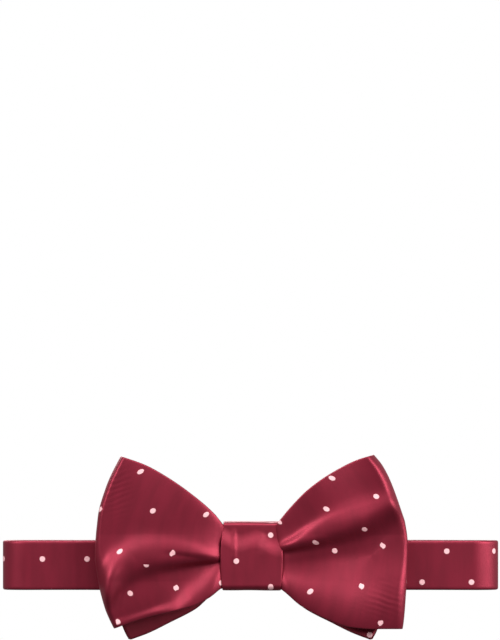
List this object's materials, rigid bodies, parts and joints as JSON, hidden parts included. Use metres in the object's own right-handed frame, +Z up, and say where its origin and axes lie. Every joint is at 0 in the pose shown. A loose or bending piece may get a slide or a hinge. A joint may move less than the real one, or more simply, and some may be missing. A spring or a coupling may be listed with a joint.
{
  "type": "bow tie",
  "caption": "Pre-tied bow tie in pin-dot silk satin: folded front bow over a flat rear bow, wrapped knot, adjustable neck band with slider, hook and eye ring.",
  "frame": {"origin": "middle of the flat back of the knot, where it rests on the front of the collar, level with the middle of the band", "axes": "+Z up as worn, +Y from the bow towards the neck, +X to the wearer's left along the band"},
  "size_m": [0.191, 0.0416, 0.07],
  "materials": {
    "silk_satin": "silk satin with woven pin dots",
    "silk_satin_rear": "the same satin, in the shade of the front bow",
    "interlining": "brushed cotton interlining",
    "sewing_thread": "polyester thread",
    "nickel": "nickel-plated steel wire"
  },
  "bodies": {
    "bow_and_front_band": {"front_bow": "silk_satin", "front_bow_interlining": "interlining", "rear_bow": "silk_satin_rear", "rear_bow_interlining": "interlining", "knot_wrap": "silk_satin", "knot_interlining": "interlining", "waist_binding": "sewing_thread", "knot_back_stitches": "sewing_thread", "band_front_run": "silk_satin", "band_front_interlining": "interlining", "band_left_turn": "silk_satin", "band_right_turn": "silk_satin"},
    "left_strap": {"band_left_back_run": "silk_satin", "band_left_interlining": "interlining", "left_bar_tack": "sewing_thread"},
    "eye_ring": {"eye_ring": "nickel"},
    "right_strap": {"band_right_back_run": "silk_satin", "band_right_interlining": "interlining", "adjuster_tail": "silk_satin"},
    "hook": {"hook": "nickel"},
    "adjuster": {"adjuster_slider": "nickel", "adjuster_tail_loop": "silk_satin", "tail_bar_tack": "sewing_thread"}
  },
  "joints": [
    {"name": "left_strap_swing", "type": "hinge", "parent": "bow_and_front_band", "child": "left_strap", "pos_m": [-0.0947, 0.0067, 0], "axis": [0, 0, 1], "range_deg": [0, 180], "deforming": ["band_left_turn"]},
    {"name": "right_strap_swing", "type": "hinge", "parent": "bow_and_front_band", "child": "right_strap", "pos_m": [0.0947, 0.0067, 0], "axis": [0, 0, -1], "range_deg": [0, 180], "deforming": ["band_right_turn"]},
    {"name": "eye_ring_pivot", "type": "hinge", "parent": "left_strap", "child": "eye_ring", "pos_m": [-0.048, 0.0173, 0], "axis": [0, 0, 1], "range_deg": [0, 120]},
    {"name": "hook_pivot", "type": "hinge", "parent": "right_strap", "child": "hook", "pos_m": [-0.0315, 0.0173, 0], "axis": [0, 0, 1], "range_deg": [0, 75]},
    {"name": "adjuster_slide", "type": "slide", "parent": "right_strap", "child": "adjuster", "axis": [1, 0, 0], "range_m": [-0.025, 0.038], "deforming": ["adjuster_tail"]}
  ]
}
